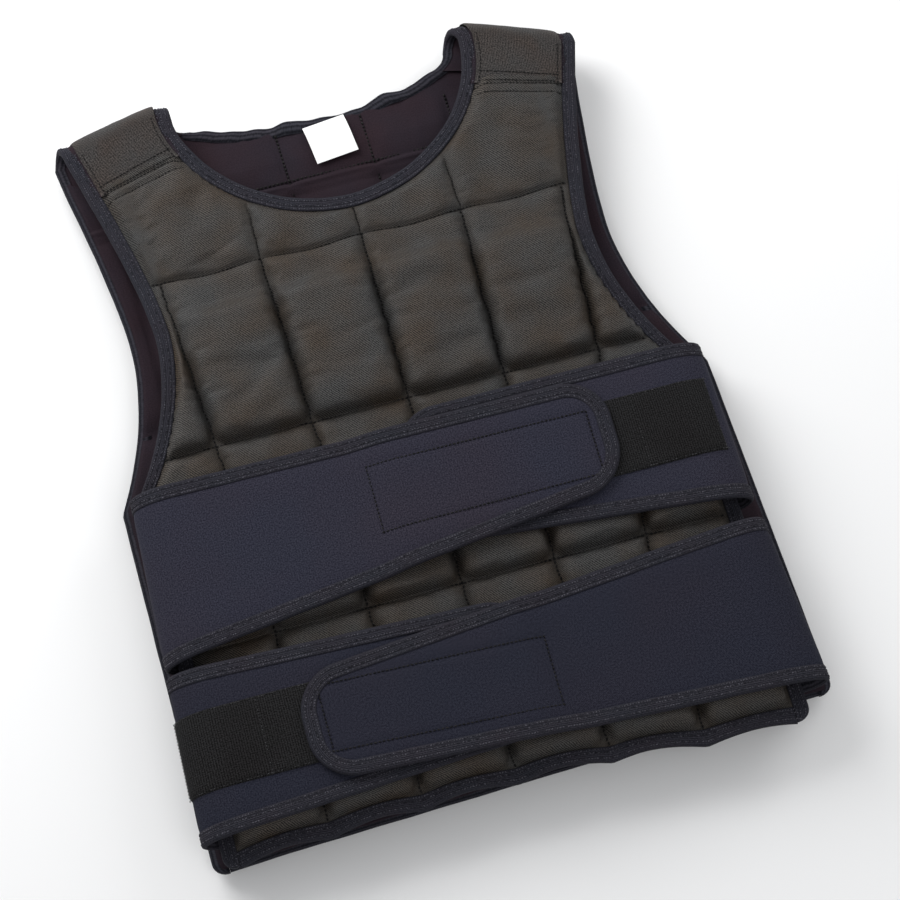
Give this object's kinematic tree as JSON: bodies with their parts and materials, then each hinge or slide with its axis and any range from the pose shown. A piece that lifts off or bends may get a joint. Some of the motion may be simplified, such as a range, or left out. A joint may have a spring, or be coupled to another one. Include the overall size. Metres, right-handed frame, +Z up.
{
  "type": "weighted vest",
  "caption": "Weighted exercise vest lying flat, front up: quilted weight pockets, bound edges, padded shoulders with brushed covers, and neoprene belts fastened across the front.",
  "frame": {"origin": "on the surface that the vest lies on, below the middle of its box", "axes": "+X to the viewer's right across the front, +Y from the hem to the shoulders, +Z up, away from the back"},
  "size_m": [0.4986, 0.6385, 0.0687],
  "materials": {
    "nylon_cloth": "coarse woven charcoal nylon with a dull sheen",
    "lining_cloth": "matt dark knitted lining",
    "neoprene": "matt navy neoprene faced with fine knit",
    "binding_tape": "dark navy knitted binding tape with a stitched edge",
    "loop_cloth": "black loop pile",
    "brushed_cloth": "brushed charcoal loop cloth",
    "label_cloth": "white woven label, bare"
  },
  "bodies": {
    "root": {"front_panel": "lining_cloth", "back_panel": "lining_cloth", "front_pocket_row1_left1": "nylon_cloth", "front_pocket_row1_left2": "nylon_cloth", "front_pocket_row1_left3": "nylon_cloth", "front_pocket_row1_right1": "nylon_cloth", "front_pocket_row1_right2": "nylon_cloth", "front_pocket_row1_right3": "nylon_cloth", "front_pocket_row2_left1": "nylon_cloth", "front_pocket_row2_left2": "nylon_cloth", "front_pocket_row2_left3": "nylon_cloth", "front_pocket_row2_right1": "nylon_cloth", "front_pocket_row2_right2": "nylon_cloth", "front_pocket_row2_right3": "nylon_cloth", "front_pocket_row3_left1": "nylon_cloth", "front_pocket_row3_left2": "nylon_cloth", "front_pocket_row3_left3": "nylon_cloth", "front_pocket_row3_right1": "nylon_cloth", "front_pocket_row3_right2": "nylon_cloth", "front_pocket_row3_right3": "nylon_cloth", "yoke_pad_middle_left": "nylon_cloth", "yoke_pad_outer_left": "nylon_cloth", "yoke_pad_middle_right": "nylon_cloth", "yoke_pad_outer_right": "nylon_cloth", "back_pocket_row1_1": "nylon_cloth", "back_pocket_row1_2": "nylon_cloth", "back_pocket_row1_3": "nylon_cloth", "back_pocket_row1_4": "nylon_cloth", "back_pocket_row1_5": "nylon_cloth", "back_pocket_row2_1": "nylon_cloth", "back_pocket_row2_2": "nylon_cloth", "back_pocket_row2_3": "nylon_cloth", "back_pocket_row2_4": "nylon_cloth", "back_pocket_row2_5": "nylon_cloth", "back_pocket_row3_1": "nylon_cloth", "back_pocket_row3_2": "nylon_cloth", "back_pocket_row3_3": "nylon_cloth", "back_pocket_row3_4": "nylon_cloth", "back_pocket_row3_5": "nylon_cloth", "shoulder_strap_left": "lining_cloth", "shoulder_cover_left": "brushed_cloth", "side_binding_left": "binding_tape", "shoulder_strap_right": "lining_cloth", "shoulder_cover_right": "brushed_cloth", "side_binding_right": "binding_tape", "neck_binding": "binding_tape", "front_hem_binding": "binding_tape", "back_hem_binding": "binding_tape", "upper_belt_left": "neoprene", "upper_belt_right": "neoprene", "lower_belt_right": "neoprene", "lower_belt_left": "neoprene", "upper_loop_strip": "loop_cloth", "lower_loop_strip": "loop_cloth", "neck_label": "label_cloth"}
  },
  "joints": []
}
